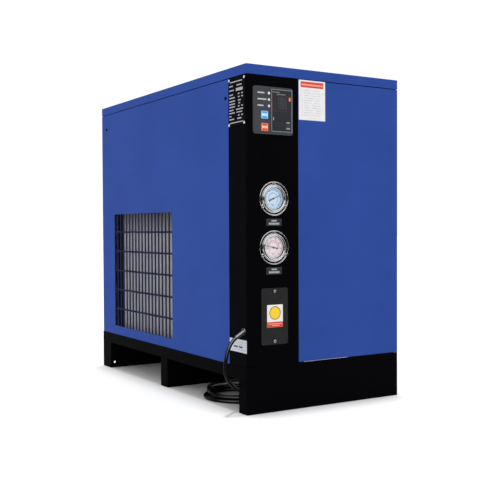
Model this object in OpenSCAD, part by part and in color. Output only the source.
// Refrigerated compressed-air dryer in a sheet-steel cabinet.
// +X is the right side, +Y the back and +Z up; the origin is the bottom centre of the cabinet.
// Modules are drawn from the cabinet's front left floor corner, and centred() moves them to the origin.

/* [Cabinet] */
// Width of the cabinet across its control face
case_w = 440; // [436:2:460]
// Depth of the cabinet, front to back
case_d = 840; // [838:2:860]
// Height of the cabinet, floor to top
case_h = 780; // [776:2:820]
// Thickness of the cabinet sheet steel
sheet = 1.5; // [1:0.25:1.5]
// Height of the top cover's rim
cover_h = 22; // [18:1:24]
// Width of the control column on the front
column_w = 139.5; // [139:0.5:145]
// Width of the control column round the left side
column_side = 77; // [76:1:80]
// Depth of the folded edges of the panels
lip = 12; // [9:1:12]

/* [Base] */
// Height of the base, floor to base tray
base_h = 105; // [103:1:106]
// Height of the fork pockets, floor to side rails
rail_bottom = 76; // [72:1:78]
// Thickness of the base steel
base_t = 3; // [2:0.5:3]
// Depth of the front foot
foot_d = 36; // [34:1:38]
// Radius of the floor anchor holes
anchor_r = 6; // [5:0.5:7]

/* [Condenser window] */
// Number of slots along the window
slot_columns = 18; // [12:1:20]
// Number of slot rows
slot_rows = 6; // [4:1:8]
// Width of the bars between the slots
slot_bar = 7; // [5:0.5:9]

/* [Gauges] */
// Outer radius of the gauge flange
gauge_flange_r = 38.75; // [38.25:0.25:41]
// Outer radius of the gauge bezel
gauge_bezel_r = 31; // [30.5:0.25:31.5]
// Height of the low-pressure gauge's centre above the floor
low_gauge_z = 483; // [478:1:488]
// Height of the high-pressure gauge's centre above the floor
high_gauge_z = 373; // [368:1:378]

/* [Air side] */
// Height of the air inlet port
air_inlet_z = 520; // [500:5:540]
// Height of the air outlet port
air_outlet_z = 380; // [360:5:400]
// Radius of the ports' threaded bore
port_thread_r = 15.15; // [14:0.05:16]

/* [Fan] */
// Radius of the fan blades' tips
fan_r = 143; // [130:1:145]
// Number of fan blades
fan_blades = 5; // [4:1:7]

/* [Power cord] */
// Diameter of the power cord
cord_d = 8.5; // [8:0.25:9]

/* [Hidden] */
$fn = 64;

// Colours
blue = [0.20, 0.30, 0.60];
satin_black = [0.06, 0.06, 0.06];
dark_grey = [0.18, 0.18, 0.19];
controller_grey = [0.27, 0.28, 0.31];
steel = [0.78, 0.78, 0.78];
aluminium = [0.70, 0.72, 0.75];
copper = [0.72, 0.45, 0.30];
brass = [0.80, 0.65, 0.30];
white = [0.95, 0.95, 0.95];
rubber = [0.05, 0.05, 0.05];
clear = [0.85, 0.90, 0.95, 0.35];

// Cabinet levels and seams
eps = 1;
seam = 0.5;
inset = 1;
bend = 4;
skirt_top = base_h + 2;
panel_low = base_h + seam;
front_low = skirt_top + seam;
panel_top = case_h - cover_h - 1.5;
tray_edge = inset + lip + 1.5;
post = 25;
post_t = 2;
anchor_in = 40;
anchor_edge = 20;

// Condenser window, slots and fan axis
window_y = [370, 750];
window_z = [131, 459];
slot_row_pitch = 56.25;
row_bar = 5;
fan_y = 540;
fan_z = 298;
duct_r = fan_r + 5;

// Controls, as [x, z] on the front face
controller = [69.5, case_h - 100.5];
blank = [72.7, 570];
gauge_x = 72;
terminal = [72.6, 217.6];
terminal_hole = 56.5;
controller_size = 106;
window_at = [22.3, 1];
window_size = [57, 96];
lamp_at = [for (z = [38.4, 24.2, 10]) [-11.6, z]];
start_at = [-24.1, -10.4];
stop_at = [-24.1, -37.7];
button = [17.4, 17.2];
button_gap = 0.4;
low_reading = 67;
high_reading = -78;
dial_z = -3.8;
flange_screws = [for (a = [90, 210, 330]) 34.7 * [cos(a), sin(a)]];

// Side fittings, as [y, z] on the left face
rating = [39.7, case_h - 79.2];
rating_size = [71, 107];
rivets = [for (y = [7, 72.5], z = [case_h - 129.5, case_h - 29]) [y, z]];
cord_exit = [13.5, 186];
side_screws = [for (y = [91, case_d - 37]) [y, case_h - 66]];
rear_screws = [for (x = [26, case_w - 26], z = [150, case_h - 66]) [x, z]];

// Refrigeration parts
compressor = [285, 215];
shell_r = 92;
air_x = 337;
drain = [215, 765];
drain_z = 160;
exchanger_low = [262, 560, 127];
exchanger_high = [412, 790, 600];
rear_end = case_d + 11;
drier = [120, 320];
condenser_low = [20, 350, 125];
condenser_high = [60, 730, 470];
core_y = [348, 733];
end_t = 2.2;
tube_pitch = 28;
tube_r = 4.75;

// Power cord: it hangs from its boot and reaches the coil under the cabinet
cord_r = cord_d / 2;
boot_length = 24;
cord_drop = [
    [-20, 13.5, 174], [-29, 13.5, 167], [-37, 14, 155], [-42, 15, 142], [-45, 16, 128],
    [-46, 18, 114], [-44, 21, 100], [-39, 25, 88], [-31, 31, 77], [-20, 39, 67], [-7, 49, 58],
    [8, 61, 50], [25, 74, 43], [44, 88, 36], [66, 102, 29], [91, 114, 23]
];
cord_tail = [[97, 112, cord_r], [118, 112, cord_r], [140, 113, 6], [163, 115, 10], [180, 116, 13]];
coil = [97, 195];
coil_r = [64, 90];
coil_h = 34;
plug = [203, 116, 14];

// --- Helpers ---

module centred() translate([-case_w / 2, -case_d / 2, 0]) children();

module box(low, high) translate(low) cube(high - low);

// Folded tray: a box with walls t thick, open on the side that the open vector points to
module folded_tray(low, high, open, t = sheet) {
    difference() {
        box(low, high);
        box([for (i = [0:2]) low[i] + (open[i] < 0 ? -eps : t)],
            [for (i = [0:2]) high[i] - (open[i] > 0 ? -eps : t)]);
    }
}

// Local x runs right, y up and z out of the front face
module facing_front(at, y = 0) translate([at[0], y, at[1]]) rotate([90, 0, 0]) children();

// Local x runs to the front, y up and z out of the left face
module facing_left(at, x = 0) translate([x, at[0], at[1]]) rotate([90, 0, -90]) children();

module rod_x(p, r, length) translate(p) rotate([0, 90, 0]) cylinder(r = r, h = length);

module rod_y(p, r, length) translate(p) rotate([-90, 0, 0]) cylinder(r = r, h = length);

module rod_z(p, r, length) translate(p) cylinder(r = r, h = length);

function arc(c, r, from, to, n = 6) =
    [for (i = [0:n]) let (a = from + (to - from) * i / n) c + r * [cos(a), sin(a)]];

function rounded_rect(w, h, r) = concat(
    arc([w / 2 - r, h / 2 - r], r, 0, 90), arc([r - w / 2, h / 2 - r], r, 90, 180),
    arc([r - w / 2, r - h / 2], r, 180, 270), arc([w / 2 - r, r - h / 2], r, 270, 360));

module plate(w, h, r, t) linear_extrude(t) polygon(rounded_rect(w, h, r));

// Rectangular cutter of size w by h that passes eps beyond both faces of a wall t thick
module slot(w, h, t) translate([-w / 2, -h / 2, -eps]) cube([w, h, t + 2 * eps]);

// Plan outline of the cabinet's front, with its two front corners rounded
function front_outline(gap, depth, r) = concat(
    [[gap, depth]], arc([gap + r, gap + r], r, 180, 270),
    arc([case_w - gap - r, gap + r], r, 270, 360), [[case_w - gap, depth]]);

module front_shell(depth, h) linear_extrude(h) difference() {
    polygon(front_outline(0, depth, bend));
    polygon(front_outline(base_t, depth + eps, bend - base_t + 0.5));
}

// Swept tube along a list of points
function unit(v) = v / norm(v);
function tangent(p, i) = unit(p[min(i + 1, len(p) - 1)] - p[max(i - 1, 0)]);
function first_side(t) = unit(cross(t, abs(t[2]) < 0.9 ? [0, 0, 1] : [1, 0, 0]));
function side_vectors(p, i = 0, last = undef) = i >= len(p) ? [] :
    let (t = tangent(p, i), s = i == 0 ? first_side(t) : unit(last - (last * t) * t))
    concat([s], side_vectors(p, i + 1, s));
function ring(c, t, s, r, n) =
    [for (k = [0:n - 1]) c + r * (cos(360 * k / n) * s + sin(360 * k / n) * cross(t, s))];
function curve_point(a, b, c, d, t) =
    (2 * b + (c - a) * t + (2 * a - 5 * b + 4 * c - d) * t * t
    + (3 * b - a - 3 * c + d) * t * t * t) / 2;
function smooth(p, n = 3) = concat(
    [for (i = [0:len(p) - 2], k = [0:n - 1])
        curve_point(p[max(i - 1, 0)], p[i], p[i + 1], p[min(i + 2, len(p) - 1)], k / n)],
    [p[len(p) - 1]]);

module tube(p, r, n = 10) {
    s = side_vectors(p);
    last = len(p) - 1;
    points = [for (i = [0:last]) each ring(p[i], tangent(p, i), s[i], r, n)];
    walls = [for (i = [0:last - 1], k = [0:n - 1])
        [i * n + k, (i + 1) * n + k, (i + 1) * n + (k + 1) % n, i * n + (k + 1) % n]];
    ends = [[for (k = [0:n - 1]) k], [for (k = [n - 1:-1:0]) last * n + k]];
    polyhedron(points, concat(walls, ends));
}

// Screw along local z: its head stands on z = 0
module screw(head_r, head_h, shank_r, length) {
    cylinder(r = head_r, h = head_h * 0.6);
    translate([0, 0, head_h * 0.6]) cylinder(r1 = head_r, r2 = head_r * 0.7, h = head_h * 0.4);
    translate([0, 0, -length]) cylinder(r = shank_r, h = length);
}

// --- Base ---

module front_skirt() color(satin_black) difference() {
    union() {
        front_shell(foot_d, rail_bottom);
        translate([0, 0, rail_bottom]) front_shell(6, skirt_top - rail_bottom);
        linear_extrude(base_t) polygon(front_outline(0, foot_d, bend));
    }
    for (x = [anchor_in, case_w - anchor_in]) rod_z([x, anchor_edge, -eps], anchor_r, base_t + 2 * eps);
}

module left_rail() difference() {
    box([0, 6, rail_bottom], [30, case_d - base_t, base_h]);
    box([base_t, 6 - eps, rail_bottom + base_t], [30 + eps, case_d, base_h - base_t]);
}

module side_rails() color(satin_black) {
    left_rail();
    translate([case_w, 0, 0]) mirror([1, 0, 0]) left_rail();
}

module middle_runner() color(satin_black)
    folded_tray([0, 400, 0], [case_w, 440, rail_bottom], [0, 1, 0], base_t);

module rear_runner() color(satin_black) difference() {
    union() {
        folded_tray([0, case_d - 57, 0], [case_w, case_d, rail_bottom], [0, 1, 0], base_t);
        box([0, case_d - base_t, rail_bottom], [case_w, case_d, base_h]);
    }
    for (x = [anchor_in, case_w - anchor_in])
        rod_z([x, case_d - anchor_edge, -eps], anchor_r, base_t + 2 * eps);
    for (x = [13, case_w - 13]) rod_y([x, case_d - 57 - eps, 16], 3.5, base_t + 2 * eps);
}

module base_tray() color(aluminium) difference() {
    box([tray_edge, tray_edge + 1, base_h], [case_w - tray_edge, case_d - tray_edge - 1, skirt_top]);
    for (y = [460:60:520], x = [200, 250]) rod_z([x, y, base_h - eps], 9, 4);
}

module angle_post() difference() {
    cube([post, post, case_h - sheet - skirt_top]);
    translate([post_t, post_t, -eps]) cube([post, post, case_h]);
}

module corner_posts() color(aluminium) {
    translate([tray_edge, case_d - 16, skirt_top]) mirror([0, 1, 0]) angle_post();
    translate([case_w - tray_edge, case_d - 16, skirt_top]) rotate(180) angle_post();
    translate([case_w - tray_edge, 16, skirt_top]) mirror([1, 0, 0]) angle_post();
}

// --- Cabinet ---

function column_profile() = concat(
    [[column_w, lip], [column_w, 0]], arc([bend, bend], bend, 270, 180), [[0, column_side]],
    [[lip, column_side], [lip, column_side - sheet], [sheet, column_side - sheet]],
    arc([bend, bend], bend - sheet, 180, 270), [[column_w - sheet, sheet], [column_w - sheet, lip]]);

module control_column() color(satin_black) difference() {
    translate([0, 0, panel_low]) linear_extrude(panel_top - panel_low) polygon(column_profile());
    box([-eps, -eps, 0], [column_w + eps, 6.5, front_low]);
    facing_front(controller, 3) slot(101.5, 101.5, 3);
    for (z = [low_gauge_z, high_gauge_z]) {
        rod_y([gauge_x, -eps, z], 31, sheet + 2 * eps);
        for (s = flange_screws) rod_y([gauge_x + s[0], -eps, z + s[1]], 1.6, sheet + 2 * eps);
    }
    facing_front(blank, 3) slot(52, 20, 3);
    facing_front(terminal, 3) slot(54, 92, 3);
    for (k = [-1, 1])
        rod_y([terminal[0], -eps, terminal[1] + k * terminal_hole], 1.6, sheet + 2 * eps);
    for (p = rivets) rod_x([-eps, p[0], p[1]], 1.5, sheet + 2 * eps);
    rod_x([-eps, cord_exit[0], cord_exit[1]], 6.2, sheet + 2 * eps);
}

module front_panel() color(blue)
    folded_tray([column_w + seam, inset, front_low], [case_w - inset, inset + lip, panel_top], [0, 1, 0]);

module left_side_panel() color(blue) difference() {
    folded_tray([inset, column_side + seam, panel_low], [inset + lip, case_d - inset, panel_top],
        [1, 0, 0]);
    box([0, window_y[0], window_z[0]], [inset + 2 * sheet, window_y[1], window_z[1]]);
    for (p = side_screws) rod_x([0, p[0], p[1]], 2.1, 2 * sheet + eps);
}

module condenser_guard() color(dark_grey) difference() {
    margin = 8;
    back = inset + sheet;
    box([back, window_y[0] - margin, window_z[0] - margin],
        [back + sheet, window_y[1] + margin, window_z[1] + margin]);
    pitch = (window_y[1] - window_y[0]) / slot_columns;
    middle = (window_z[0] + window_z[1]) / 2;
    for (i = [0:slot_columns - 1], k = [0:slot_rows - 1]) {
        low_z = max(window_z[0], middle + (k - slot_rows / 2) * slot_row_pitch + row_bar / 2);
        high_z = min(window_z[1], middle + (k + 1 - slot_rows / 2) * slot_row_pitch - row_bar / 2);
        low_y = window_y[0] + i * pitch + slot_bar / 2;
        box([back - eps, low_y, low_z], [back + sheet + eps, low_y + pitch - slot_bar, high_z]);
    }
}

module right_side_panel() color(blue) difference() {
    folded_tray([case_w - inset - lip, inset + lip + seam, panel_low],
        [case_w - inset, case_d - inset, panel_top], [-1, 0, 0]);
    for (k = [0:13], j = [0:3])
        box([case_w - 4, 110 + j * 92, 150 + k * 20], [case_w, 190 + j * 92, 158 + k * 20]);
    for (p = side_screws) rod_x([case_w - 4, p[0], p[1]], 2.1, 5);
}

module rear_panel() color(blue) difference() {
    folded_tray([inset + lip + seam, case_d - inset - lip, panel_low],
        [case_w - inset - lip - seam, case_d - inset, panel_top], [0, -1, 0]);
    for (z = [air_inlet_z, air_outlet_z]) rod_y([air_x, case_d - 4, z], 24, 5);
    rod_y([drain[0], case_d - 4, drain_z], 9.5, 5);
    for (p = rear_screws) rod_y([p[0], case_d - 4, p[1]], 2.1, 5);
}

module top_cover() color(blue) translate([case_w / 2, case_d / 2, case_h - cover_h]) difference() {
    plate(case_w, case_d, bend, cover_h);
    translate([0, 0, -eps])
        plate(case_w - 2 * sheet, case_d - 2 * sheet, bend - sheet, cover_h - sheet + eps);
}

module panel_screws() color(dark_grey) {
    for (p = side_screws) {
        facing_left(p, inset) screw(4, 2, 2, 8);
        translate([case_w, 0, 0]) mirror([1, 0, 0]) facing_left(p, inset) screw(4, 2, 2, 8);
    }
    for (p = rear_screws) translate([p[0], case_d - inset, p[1]]) rotate([-90, 0, 0]) screw(4, 2, 2, 8);
}

// --- Controls ---

module controller_housing() color(controller_grey) facing_front(controller) difference() {
    union() {
        plate(controller_size, controller_size, 6, 3.5);
        translate([0, 0, -36]) plate(101, 101, 3, 36);
    }
    translate([0, 0, -36 - eps]) plate(97, 97, 2, 33.5 + eps);
    translate([window_at[0], window_at[1], 2.3]) plate(window_size[0], window_size[1], 1, 3);
    for (p = lamp_at) translate([p[0], p[1], -5]) cylinder(r = 3.1, h = 12);
    for (p = [start_at, stop_at]) translate([p[0], p[1], -4])
        slot(button[0] + 2 * button_gap, button[1] + 2 * button_gap, 8);
}

module controller_window() color(dark_grey) facing_front(controller)
    translate([window_at[0], window_at[1], 2.3])
        plate(window_size[0] - 0.5, window_size[1] - 0.5, 0.8, 2);

module status_lamps() color([0.85, 0.2, 0.15]) facing_front(controller) for (p = lamp_at)
    translate([p[0], p[1], 0]) {
        translate([0, 0, -5]) cylinder(r = 4, h = 2.4);
        translate([0, 0, -3]) cylinder(r = 3, h = 6.5);
        translate([0, 0, 3.5]) cylinder(r1 = 3, r2 = 1.8, h = 0.9);
    }

module push_button(at) facing_front(controller) translate([at[0], at[1], 0]) {
    translate([0, 0, -2.7]) plate(button[0], button[1], 1.5, 8.1);
    translate([0, 0, -4.7]) plate(button[0] + 3.6, button[1], 1, 2.1);
}

module start_button() color([0.60, 0.82, 1]) push_button(start_at);

module stop_button() color([0.93, 0.40, 0.28]) push_button(stop_at);

module controller_board() color([0.10, 0.35, 0.20]) facing_front(controller) {
    translate([0, 0, -16]) plate(94, 94, 1, 1.6);
    for (p = [start_at, stop_at]) translate([p[0], p[1], -14.5]) {
        plate(12, 12, 1, 5);
        translate([0, 0, 5]) cylinder(r = 3.5, h = 3);
    }
    translate([window_at[0], window_at[1], -14.5]) plate(40, 70, 1, 8);
    translate([0, 30, -27]) plate(60, 18, 1, 11.2);
}

module blanking_plate() color(satin_black) facing_front(blank) {
    plate(56, 24, 2, 1.2);
    for (k = [-1, 1]) translate([0, k * 8.5, -6]) plate(40, 2, 0.5, 6.2);
}

// Gauge body, flange, bezel and movement post in one turned section
module gauge_case(z) facing_front([gauge_x, z]) difference() {
    union() {
        rotate_extrude(convexity = 6) polygon([
            [0, -34], [30, -34], [30, 0], [gauge_flange_r, 0], [gauge_flange_r, 1.6],
            [gauge_bezel_r, 1.6], [gauge_bezel_r, 3.8], [gauge_bezel_r - 1.6, 5.2], [26.2, 5.2],
            [25.5, 4.6], [25.5, 2.6], [28.9, 2.6], [28.9, dial_z], [26, dial_z], [26, -31],
            [4, -31], [4, dial_z - 0.2], [1.05, dial_z - 0.2], [1.05, -30], [0, -30]]);
        translate([0, 0, -50]) cylinder(r = 6.5, h = 17);
    }
    for (s = flange_screws) translate([s[0], s[1], -eps]) cylinder(r = 1.6, h = 4);
}

module gauge_dial(z) facing_front([gauge_x, z]) translate([0, 0, dial_z]) difference() {
    cylinder(r = 28.7, h = 0.8);
    translate([0, 0, -eps]) cylinder(r = 1.6, h = 4);
}

// Pointer whose tip stands at a reading counted clockwise from the top
module gauge_pointer(z, reading) facing_front([gauge_x, z]) rotate(-reading) {
    translate([0, 0, -28]) cylinder(r = 1, h = dial_z + 31);
    translate([0, 0, dial_z + 2]) cylinder(r = 2.6, h = 1.2);
    translate([0, 0, dial_z + 2]) linear_extrude(0.6) polygon([
        [-1.7, -12], [1.7, -12], [1.7, -6], [0.9, -4], [1.1, 0], [0.3, 22], [-0.3, 22], [-1.1, 0],
        [-0.9, -4], [-1.7, -6]]);
}

module gauge_lens(z) facing_front([gauge_x, z]) translate([0, 0, 0.6]) cylinder(r = 28.7, h = 2);

module low_pressure_gauge_case() color(steel) gauge_case(low_gauge_z);

module low_pressure_gauge_dial() color([0.72, 0.86, 0.96]) gauge_dial(low_gauge_z);

module low_pressure_gauge_pointer() color(satin_black) gauge_pointer(low_gauge_z, low_reading);

module low_pressure_gauge_lens() color(clear) gauge_lens(low_gauge_z);

module high_pressure_gauge_case() color(steel) gauge_case(high_gauge_z);

module high_pressure_gauge_dial() color([0.96, 0.84, 0.82]) gauge_dial(high_gauge_z);

module high_pressure_gauge_pointer() color(satin_black) gauge_pointer(high_gauge_z, high_reading);

module high_pressure_gauge_lens() color(clear) gauge_lens(high_gauge_z);

module control_panel_screws() color(steel) {
    for (z = [low_gauge_z, high_gauge_z], s = flange_screws)
        facing_front([gauge_x + s[0], z + s[1]], -1.6) screw(3, 1.8, 1.5, 7);
    for (k = [-1, 1])
        facing_front([terminal[0], terminal[1] + k * terminal_hole], -2) screw(3.4, 1.8, 1.5, 7);
}

module terminal_cover() color(dark_grey) facing_front(terminal) difference() {
    plate(71, 128, 4.5, 2);
    for (k = [-1, 1]) translate([0, k * terminal_hole, -eps]) cylinder(r = 1.6, h = 5);
}

// --- Labels ---

module rating_plate() color(satin_black) difference() {
    facing_left(rating) plate(rating_size[0], rating_size[1], 2, 0.6);
    for (p = rivets) rod_x([-2, p[0], p[1]], 1.5, 4);
}

module rating_plate_rivets() color(steel) for (p = rivets)
    facing_left(p, -0.6) screw(3.1, 1, 1.45, 4);

module instruction_label() color(white) facing_front([179.5, case_h - 69.3], inset) plate(75, 91.4, 1, 0.3);

module gauge_labels() color(dark_grey) for (z = [429.8, 320.3])
    facing_front([72, z]) plate(41.2, 16.2, 1.5, 0.8);

module terminal_cover_label() color([0.95, 0.80, 0.10]) facing_front([72.8, 218.4], -2)
    plate(42.5, 51, 1, 0.3);

module side_label() color(white) facing_left([38.5, 152.3]) plate(74, 29, 1, 0.3);

// --- Power cord ---

module strain_relief() color(rubber) difference() {
    union() {
        facing_left(cord_exit) {
            cylinder(r = 9, h = 3);
            translate([0, 0, -10]) cylinder(r = 6, h = 11);
            translate([0, 0, -8]) cylinder(r = 9, h = 8 - sheet, $fn = 6);
        }
        translate([0, cord_exit[0], cord_exit[1]]) rotate([0, -120, 0])
            cylinder(r1 = 7.5, r2 = 5.6, h = boot_length);
    }
    box([0, cord_exit[0] - 12, cord_exit[1] - 12], [sheet, cord_exit[0] + 12, cord_exit[1] - 6.1]);
}

module power_cord() color(rubber) {
    tube(cord_drop, cord_r);
    tube(cord_tail, cord_r);
}

module power_cord_coil() color(rubber) translate([coil[0], coil[1], 0]) rotate_extrude()
    polygon([[coil_r[0], 0], [coil_r[1], 0], [coil_r[1], 16], [coil_r[1] - 5, coil_h],
        [coil_r[0] + 5, coil_h], [coil_r[0], 16]]);

module plug_body() color(rubber) {
    translate(plug) rotate([90, 0, 90]) plate(36, 26, 9, 42);
    translate([plug[0] - 25, plug[1], plug[2]]) rotate([0, 90, 0]) cylinder(r1 = 6, r2 = 9, h = 26);
}

module plug_blades() color(steel) {
    for (k = [-1, 1])
        box(plug + [42, k * 9 - 3, -5], plug + [60, k * 9 + 3, -3.2]);
    box(plug + [42, -1, 2], plug + [62, 1, 9]);
}

// --- Refrigeration ---

function dome(r, low, low_h, high, high_h) = concat(
    [for (i = [-12:0]) [r * cos(i * 7.5), low + low_h * sin(i * 7.5)]],
    [for (i = [0:12]) [r * cos(i * 7.5), high + high_h * sin(i * 7.5)]]);

module compressor_shell() color(satin_black) translate([compressor[0], compressor[1], 0]) {
    difference() {
        union() {
            rotate_extrude() polygon(dome(shell_r, 180, 50, 330, 65));
            translate([0, 0, 262]) cylinder(r = shell_r + 3, h = 4);
        }
        rotate_extrude() polygon(dome(shell_r - 3.5, 180, 46.5, 330, 61.5));
    }
    translate([0, 0, 175]) cylinder(r = 62, h = 140);
    for (a = [0, 120, 240]) rotate(a) translate([40, 0, 137]) cylinder(r = 5, h = 40);
    difference() {
        translate([0, 0, 126]) cylinder(r = 60, h = 15);
        translate([0, 0, 120]) cylinder(r = 52, h = 30);
    }
    difference() {
        translate([0, 0, 122]) plate(190, 190, 12, 4);
        for (x = [-80, 80], y = [-80, 80]) translate([x, y, 110]) cylinder(r = 5.2, h = 30);
    }
    translate([30, -15, 388]) cylinder(r = 7, h = 22);
    translate([-35, 20, 386]) cylinder(r = 6, h = 24);
    box([89.5, -20, 240], [112, 20, 290]);
}

module compressor_mounts() color(rubber) for (x = [-80, 80], y = [-80, 80])
    translate([compressor[0] + x, compressor[1] + y, skirt_top]) {
        cylinder(r = 14, h = 122 - skirt_top);
        cylinder(r = 5, h = 134 - skirt_top);
        translate([0, 0, 126 - skirt_top]) cylinder(r = 9, h = 4);
    }

// One fin of the comb, from its spine out to its edge
function fin_points(edge, spine, y, fin) = [[spine, y], [edge, y], [edge, y + fin], [spine, y + fin]];

function backwards(list) = [for (i = [len(list) - 1:-1:0]) list[i]];

// Finned block as one comb section
module condenser_core() color(aluminium) {
    low = condenser_low;
    high = condenser_high;
    pitch = 5;
    fin = 0.8;
    count = floor((high[1] - low[1]) / pitch);
    front = [for (k = [0:count]) each fin_points(low[0], 37, low[1] + k * pitch, fin)];
    back = [for (k = [0:count]) each fin_points(high[0], 43, low[1] + k * pitch, fin)];
    translate([0, 0, low[2]]) linear_extrude(high[2] - low[2]) polygon(concat(front, backwards(back)));
    for (y = [core_y[0], core_y[1] - end_t])
        box([low[0] - 2, y, low[2] - 3], [high[0] + 2, y + end_t, high[2] + 3]);
}

module return_bend(y, z, way) translate([40, y, z + tube_pitch / 2]) rotate([0, 90, 0])
    rotate(way > 0 ? 0 : 180) rotate_extrude(angle = 180) translate([tube_pitch / 2, 0]) circle(tube_r);

module condenser_tubes() color(copper) {
    first_z = 142;
    for (k = [0:2:10]) return_bend(core_y[1], first_z + k * tube_pitch, 1);
    for (k = [1:2:9]) return_bend(core_y[0], first_z + k * tube_pitch, -1);
    for (k = [0, 11]) rod_y([40, core_y[0] - 12, first_z + k * tube_pitch], tube_r, 12);
}

module fan_shroud() color(satin_black) {
    face_x = condenser_high[0] + 2;
    deep = 54;
    difference() {
        union() {
            box([face_x, 348, 122], [face_x + 2, 733, 473]);
            rod_x([face_x, fan_y, fan_z], duct_r + 2, deep);
        }
        rod_x([face_x - eps, fan_y, fan_z], duct_r, deep + 2 * eps);
    }
    difference() {
        union() {
            for (a = [45:90:315]) translate([face_x + deep - 6, fan_y, fan_z]) rotate([a, 0, 0])
                translate([0, 24, -6]) cube([6, duct_r - 23, 12]);
            rod_x([face_x + deep - 6, fan_y, fan_z], 30, 6);
        }
        rod_x([face_x + deep - 7, fan_y, fan_z], 20, 8);
    }
}

module fan_motor() color(dark_grey) difference() {
    union() {
        rod_x([116, fan_y, fan_z], 38, 50);
        rod_x([166, fan_y, fan_z], 30, 14);
        for (a = [0:30:330]) translate([122, fan_y, fan_z]) rotate([a, 0, 0])
            translate([0, 36, -1.5]) cube([38, 6, 3]);
    }
    rod_x([115, fan_y, fan_z], 4.05, 38);
}

module fan_rotor() color(satin_black) {
    hub_x = 74;
    difference() {
        rod_x([hub_x, fan_y, fan_z], 36, 28);
        rod_x([hub_x + 3, fan_y, fan_z], 32, 30);
    }
    rod_x([hub_x, fan_y, fan_z], 9, 28);
    rod_x([hub_x + 20, fan_y, fan_z], 4, 56);
    intersection() {
        for (k = [0:fan_blades - 1]) translate([hub_x + 14, fan_y, fan_z])
            rotate([k * 360 / fan_blades, 0, 0]) fan_blade();
        rod_x([hub_x, fan_y, fan_z], fan_r, 28);
    }
}

module fan_blade() translate([0, 0, 34]) rotate([0, 0, -28])
    translate([-1.1, -30, 0]) cube([2.2, 60, fan_r]);

module heat_exchanger() color(rubber) {
    low = exchanger_low;
    high = exchanger_high;
    size = high - low;
    middle = (low + high) / 2;
    translate([middle[0], middle[1], low[2]]) plate(size[0], size[1], 18, size[2]);
    for (z = [180, 350, 520]) translate([middle[0], middle[1], z])
        plate(size[0] + 2, size[1], 18.5, 16);
    for (x = [low[0] + 20, high[0] - 45], y = [low[1] + 20, high[1] - 45])
        box([x, y, skirt_top], [x + 25, y + 25, low[2] + 2]);
}

module moisture_separator() color(aluminium) {
    translate([drain[0], drain[1], 0]) difference() {
        union() {
            translate([0, 0, 200]) cylinder(r1 = 26, r2 = 38, h = 14);
            translate([0, 0, 214]) cylinder(r = 38, h = 212);
            translate([0, 0, 426]) cylinder(r1 = 38, r2 = 24, h = 14);
            translate([0, 0, 172]) cylinder(r = 10, h = 30);
        }
        translate([0, 0, 214]) cylinder(r = 35, h = 212);
    }
    rod_x([drain[0] + 36, drain[1], 400], 11, exchanger_low[0] - drain[0] - 36);
}

module automatic_drain() color(brass) {
    box([drain[0] - 18, drain[1] - 18, 145], [drain[0] + 18, drain[1] + 18, 172]);
    rod_z([drain[0], drain[1], 110], 15, 36);
}

module drain_valve_body() color(brass) {
    stem_y = 804;
    rod_y([drain[0], drain[1] + 18, drain_z], 8, case_d - 1 - drain[1] - 18);
    rod_y([drain[0], case_d - 1, drain_z], 6, rear_end - case_d + 1);
    box([drain[0] - 11, stem_y - 12, drain_z - 11], [drain[0] + 11, stem_y + 12, drain_z + 11]);
    rod_z([drain[0], stem_y, drain_z + 10], 4, 15);
    rod_z([drain[0], stem_y, drain_z + 24.5], 6, 2);
}

module drain_valve_lever() color([0.75, 0.1, 0.1]) translate([drain[0], 804, drain_z + 12]) difference() {
    union() {
        cylinder(r = 8, h = 12);
        translate([0, 0, 5]) rotate(90) plate(36, 8, 3, 4);
    }
    translate([0, 0, -eps]) cylinder(r = 4.05, h = 16);
}

module air_pipe(z) difference() {
    from = exchanger_high[1];
    union() {
        rod_y([air_x, from, z], 19, rear_end - from);
        translate([air_x, rear_end - 29, z]) rotate([-90, 22.5, 0]) cylinder(r = 23, h = 29, $fn = 8);
    }
    rod_y([air_x, from - eps, z], 13, rear_end);
    rod_y([air_x, rear_end - 22, z], port_thread_r, 30);
}

module air_inlet_pipe() color(brass) air_pipe(air_inlet_z);

module air_outlet_pipe() color(brass) air_pipe(air_outlet_z);

module refrigerant_lines() color(copper) {
    discharge = [
        [250, 235, 410], [250, 235, 425], [250, 235, 445], [243, 240, 475], [205, 258, 492],
        [130, 285, 494], [75, 300, 488], [46, 310, 470], [40, 318, 454], [40, 325, 450],
        [40, 331, 450], [40, 336, 450]
    ];
    liquid_in = [
        [40, 336, 142], [40, 332, 142], [40, 328, 142], [45, 321, 136], [60, 319, 124], [80, 319, 116],
        [100, 320, 113], [112, 320, 114], [119, 320, 118], [120, 320, 123], [120, 320, 127],
        [120, 320, 131]
    ];
    liquid_out = [
        [120, 320, 239], [120, 320, 270], [120, 320, 400], [125, 325, 470], [150, 345, 520],
        [200, 390, 545], [250, 440, 550], [287, 490, 545], [300, 525, 540], [300, 545, 540],
        [300, 560, 540]
    ];
    suction = [
        [370, 560, 450], [370, 548, 450], [370, 535, 450], [368, 490, 452], [360, 420, 456],
        [345, 340, 458], [330, 270, 458], [320, 225, 456], [316, 206, 448], [315, 200, 434],
        [315, 200, 422], [315, 200, 410]
    ];
    tube(smooth(discharge), 5);
    tube(smooth(liquid_in), 4);
    tube(smooth(liquid_out), 4);
    tube(smooth(suction), 7);
}

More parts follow.
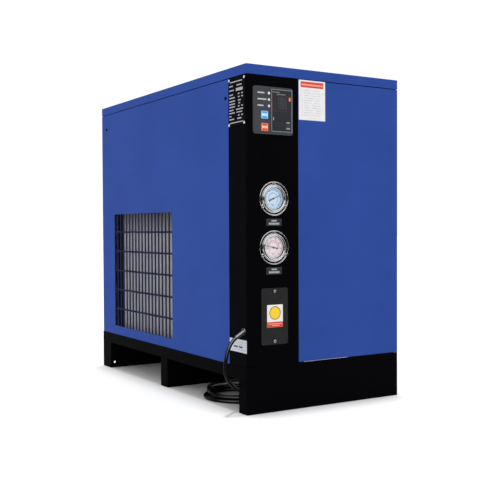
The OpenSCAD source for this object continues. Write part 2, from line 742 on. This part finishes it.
module filter_drier() color(copper) {
    translate([drier[0], drier[1], 0]) {
        translate([0, 0, 131]) cylinder(r = 5, h = 8);
        translate([0, 0, 139]) cylinder(r1 = 5, r2 = 14, h = 12);
        translate([0, 0, 151]) cylinder(r = 14, h = 68);
        translate([0, 0, 219]) cylinder(r1 = 14, r2 = 5, h = 12);
        translate([0, 0, 231]) cylinder(r = 5, h = 8);
    }
}

module contactor() color(white) {
    translate([sheet, 43, 545]) box([0, -17.5, 0], [1.5, 17.5, 70]);
    box([sheet + 1, 20, 552], [40, 66, 608]);
    box([40, 26, 560], [46, 60, 600]);
    for (z = [545, 608], k = [0:3]) box([12, 24 + k * 10, z], [30, 31 + k * 10, z + 7]);
}

module terminal_block() color(white) {
    box([sheet, 36, 178], [97, 38, 258]);
    for (k = [0:4]) difference() {
        box([50, 8, 180 + k * 15.5], [97, 36.5, 194 + k * 15.5]);
        for (x = [58, 89]) rod_y([x, 7, 187 + k * 15.5], 3, 10);
    }
}

centred() front_skirt();
centred() side_rails();
centred() middle_runner();
centred() rear_runner();
centred() base_tray();
centred() corner_posts();
centred() control_column();
centred() front_panel();
centred() left_side_panel();
centred() condenser_guard();
centred() right_side_panel();
centred() rear_panel();
centred() top_cover();
centred() panel_screws();
centred() controller_housing();
centred() controller_window();
centred() controller_board();
centred() status_lamps();
centred() start_button();
centred() stop_button();
centred() blanking_plate();
centred() low_pressure_gauge_case();
centred() low_pressure_gauge_dial();
centred() low_pressure_gauge_pointer();
centred() low_pressure_gauge_lens();
centred() high_pressure_gauge_case();
centred() high_pressure_gauge_dial();
centred() high_pressure_gauge_pointer();
centred() high_pressure_gauge_lens();
centred() control_panel_screws();
centred() terminal_cover();
centred() rating_plate();
centred() rating_plate_rivets();
centred() instruction_label();
centred() gauge_labels();
centred() terminal_cover_label();
centred() side_label();
centred() strain_relief();
centred() power_cord();
centred() power_cord_coil();
centred() plug_body();
centred() plug_blades();
centred() compressor_shell();
centred() compressor_mounts();
centred() condenser_core();
centred() condenser_tubes();
centred() fan_shroud();
centred() fan_motor();
centred() fan_rotor();
centred() heat_exchanger();
centred() moisture_separator();
centred() automatic_drain();
centred() drain_valve_body();
centred() drain_valve_lever();
centred() air_inlet_pipe();
centred() air_outlet_pipe();
centred() refrigerant_lines();
centred() filter_drier();
centred() contactor();
centred() terminal_block();
